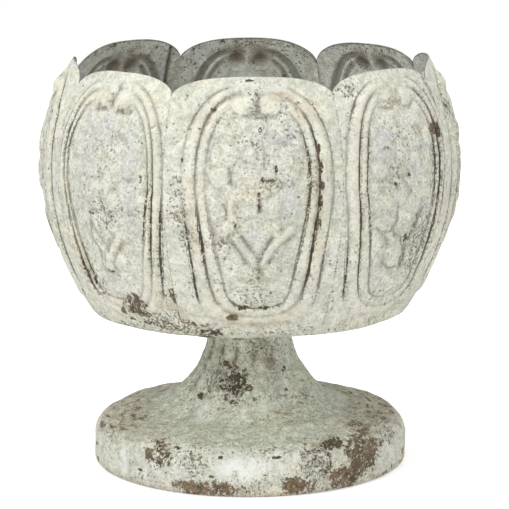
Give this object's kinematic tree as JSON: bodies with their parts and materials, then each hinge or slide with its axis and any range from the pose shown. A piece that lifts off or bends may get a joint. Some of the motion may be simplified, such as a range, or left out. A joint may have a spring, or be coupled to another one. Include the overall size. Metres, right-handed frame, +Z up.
{
  "type": "footed cachepot",
  "caption": "Round sheet-metal cachepot with a scalloped rim and framed relief panels, on a short fluted stem and a domed round base.",
  "frame": {"origin": "on the ground, under the middle of the base", "axes": "+Z up through the stem, -Y towards the front petal, +X to the right of someone who faces it"},
  "size_m": [0.2298, 0.2299, 0.2261],
  "materials": {
    "bowl_paint": "chalky cream paint, worn and speckled with rust",
    "inside_paint": "thin grey-olive wash, dull",
    "stem_paint": "greenish grey chalky paint, chipped to brown",
    "base_paint": "cream paint, rubbed brown along its edges",
    "steel": "dull zinc plate"
  },
  "bodies": {
    "root": {"petal_front": "bowl_paint", "petal_front_right": "bowl_paint", "petal_right": "bowl_paint", "petal_back_right": "bowl_paint", "petal_back": "bowl_paint", "petal_back_left": "bowl_paint", "petal_left": "bowl_paint", "petal_front_left": "bowl_paint", "bowl_floor": "inside_paint", "stem": "stem_paint", "base": "base_paint", "clamp_bolt": "steel", "washers": "steel", "nut": "steel"}
  },
  "joints": []
}
